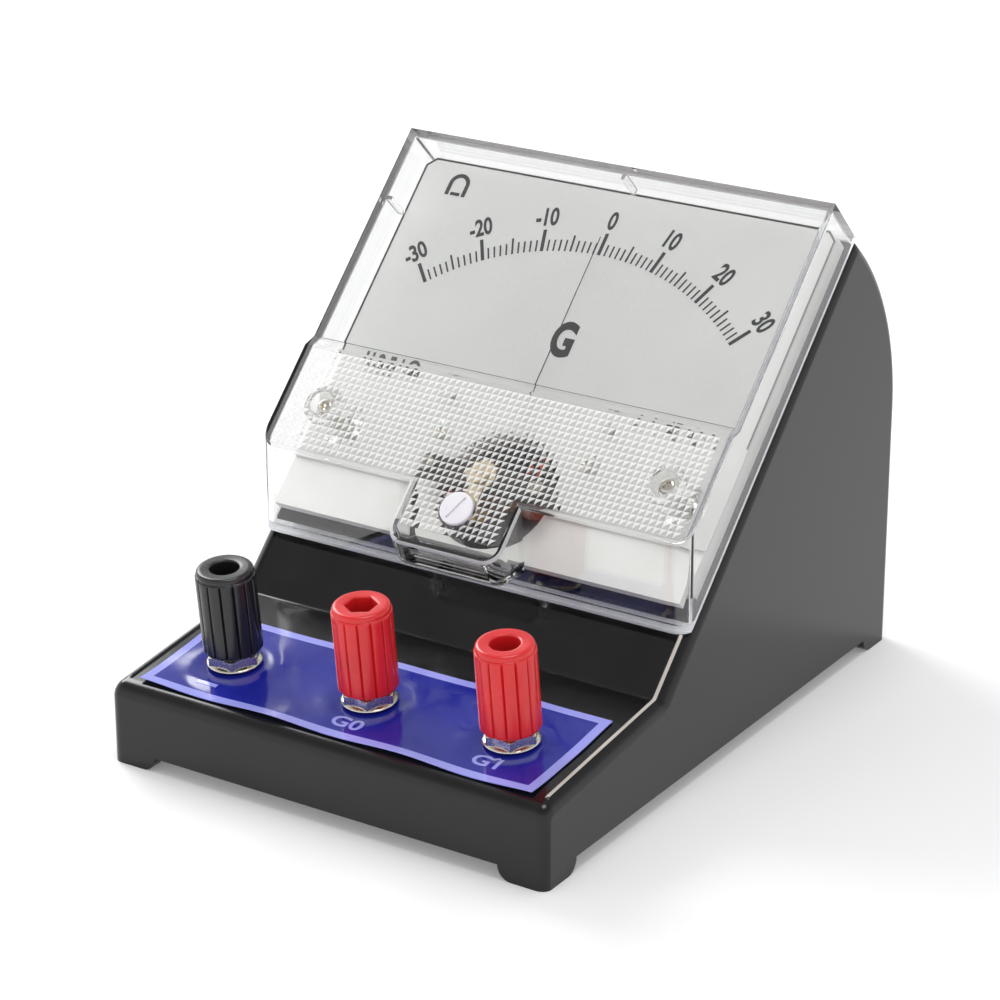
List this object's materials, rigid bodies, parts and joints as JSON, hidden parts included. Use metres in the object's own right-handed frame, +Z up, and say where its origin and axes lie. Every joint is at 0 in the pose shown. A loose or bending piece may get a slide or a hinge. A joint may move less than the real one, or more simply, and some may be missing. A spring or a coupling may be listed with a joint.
{
  "type": "galvanometer",
  "caption": "Bench moving-coil galvanometer: wedge-shaped black case, sloping centre-zero dial under a clear cover, and screw terminals with plug sockets on the front deck.",
  "frame": {"origin": "centre of the case footprint, on the plane of the feet", "axes": "+Z up, +Y to the back (the dial faces -Y and up), +X to the right seen from the front"},
  "size_m": [0.1, 0.134, 0.1028],
  "materials": {
    "black_plastic": "moulded gloss black",
    "clear_cover": "clear moulded polystyrene",
    "white_plastic": "satin white moulding",
    "red_plastic": "semi-gloss red",
    "label": "printed blue film",
    "dial": "silver-grey painted sheet",
    "adjuster": "white plastic",
    "nickel": "nickel plate",
    "steel": "bright steel",
    "brass": "turned brass",
    "copper": "enamelled copper wire",
    "aluminium": "satin aluminium",
    "magnet": "dark sintered magnet",
    "resistor": "lacquered resistor"
  },
  "bodies": {
    "case": {"housing": "black_plastic", "base_plate": "black_plastic", "base_screw_1": "steel", "base_screw_2": "steel", "base_screw_3": "steel", "base_screw_4": "steel", "label_plate": "label", "meter_cover": "clear_cover", "cover_screw_left": "nickel", "cover_screw_right": "nickel", "meter_base": "white_plastic", "dial_plate": "dial", "dial_screw_left": "nickel", "dial_screw_right": "nickel", "stop_pin_left": "nickel", "stop_pin_right": "nickel", "movement_frame": "aluminium", "frame_screw_left": "steel", "frame_screw_right": "steel", "pole_piece_left": "steel", "pole_piece_right": "steel", "magnet": "magnet", "iron_core": "steel", "upper_bridge": "nickel", "bridge_screw_left": "nickel", "bridge_screw_right": "nickel", "upper_jewel_screw": "brass", "lower_bridge": "brass", "lower_jewel_screw": "brass", "lower_hairspring": "copper", "lead_black": "black_plastic", "lead_red": "red_plastic", "series_resistor": "resistor", "post_minus_stud": "nickel", "post_minus_nut": "nickel", "post_minus_lower_nut": "nickel", "post_g0_stud": "nickel", "post_g0_nut": "nickel", "post_g0_lower_nut": "nickel", "post_g1_stud": "nickel", "post_g1_nut": "nickel", "post_g1_lower_nut": "nickel"},
    "pointer": {"moving_coil": "copper", "upper_pivot": "steel", "lower_pivot": "steel", "pointer": "aluminium", "balance_weight_tail": "brass", "balance_weight_left": "brass", "balance_weight_right": "brass"},
    "zero_adjuster": {"zero_adjuster": "adjuster"},
    "zero_lever": {"zero_lever": "brass", "upper_hairspring": "copper"},
    "minus_insert": {"post_minus_insert": "brass"},
    "minus_cap": {"post_minus_cap": "black_plastic"},
    "g0_insert": {"post_g0_insert": "brass"},
    "g0_cap": {"post_g0_cap": "red_plastic"},
    "g1_insert": {"post_g1_insert": "brass"},
    "g1_cap": {"post_g1_cap": "red_plastic"}
  },
  "joints": [
    {"name": "pointer_swing", "type": "hinge", "parent": "case", "child": "pointer", "pos_m": [0, -0.00821, 0.04836], "axis": [0, -0.7036, 0.7106], "range_deg": [-44.5, 44.5], "stiffness_Nm_per_rad": 0.00003},
    {"name": "zero_adjuster_turn", "type": "hinge", "parent": "case", "child": "zero_adjuster", "pos_m": [0, -0.02023, 0.04771], "axis": [0, -0.7036, 0.7106], "range_deg": [-45, 45]},
    {"name": "zero_lever_turn", "type": "hinge", "parent": "case", "child": "zero_lever", "pos_m": [0, -0.01173, 0.05191], "axis": [0, -0.7036, 0.7106], "range_deg": [-9.8, 9.8]},
    {"name": "minus_cap_lift", "type": "slide", "parent": "case", "child": "minus_insert", "axis": [0, -0.116, 0.9933], "range_m": [0, 0.004]},
    {"name": "minus_cap_turn", "type": "hinge", "parent": "minus_insert", "child": "minus_cap", "pos_m": [-0.032, -0.05171, 0.03047], "axis": [0, -0.116, 0.9933], "range_deg": [0, 1440]},
    {"name": "g0_cap_lift", "type": "slide", "parent": "case", "child": "g0_insert", "axis": [0, -0.116, 0.9933], "range_m": [0, 0.004]},
    {"name": "g0_cap_turn", "type": "hinge", "parent": "g0_insert", "child": "g0_cap", "pos_m": [0, -0.05171, 0.03047], "axis": [0, -0.116, 0.9933], "range_deg": [0, 1440]},
    {"name": "g1_cap_lift", "type": "slide", "parent": "case", "child": "g1_insert", "axis": [0, -0.116, 0.9933], "range_m": [0, 0.004]},
    {"name": "g1_cap_turn", "type": "hinge", "parent": "g1_insert", "child": "g1_cap", "pos_m": [0.032, -0.05171, 0.03047], "axis": [0, -0.116, 0.9933], "range_deg": [0, 1440]}
  ],
  "couplings": [
    {"joint": "zero_lever_turn", "follows": "zero_adjuster_turn", "ratio": -0.21622},
    {"joint": "minus_cap_turn", "follows": "minus_cap_lift", "rad_per_m": 6283.2},
    {"joint": "g0_cap_turn", "follows": "g0_cap_lift", "rad_per_m": 6283.2},
    {"joint": "g1_cap_turn", "follows": "g1_cap_lift", "rad_per_m": 6283.2}
  ]
}
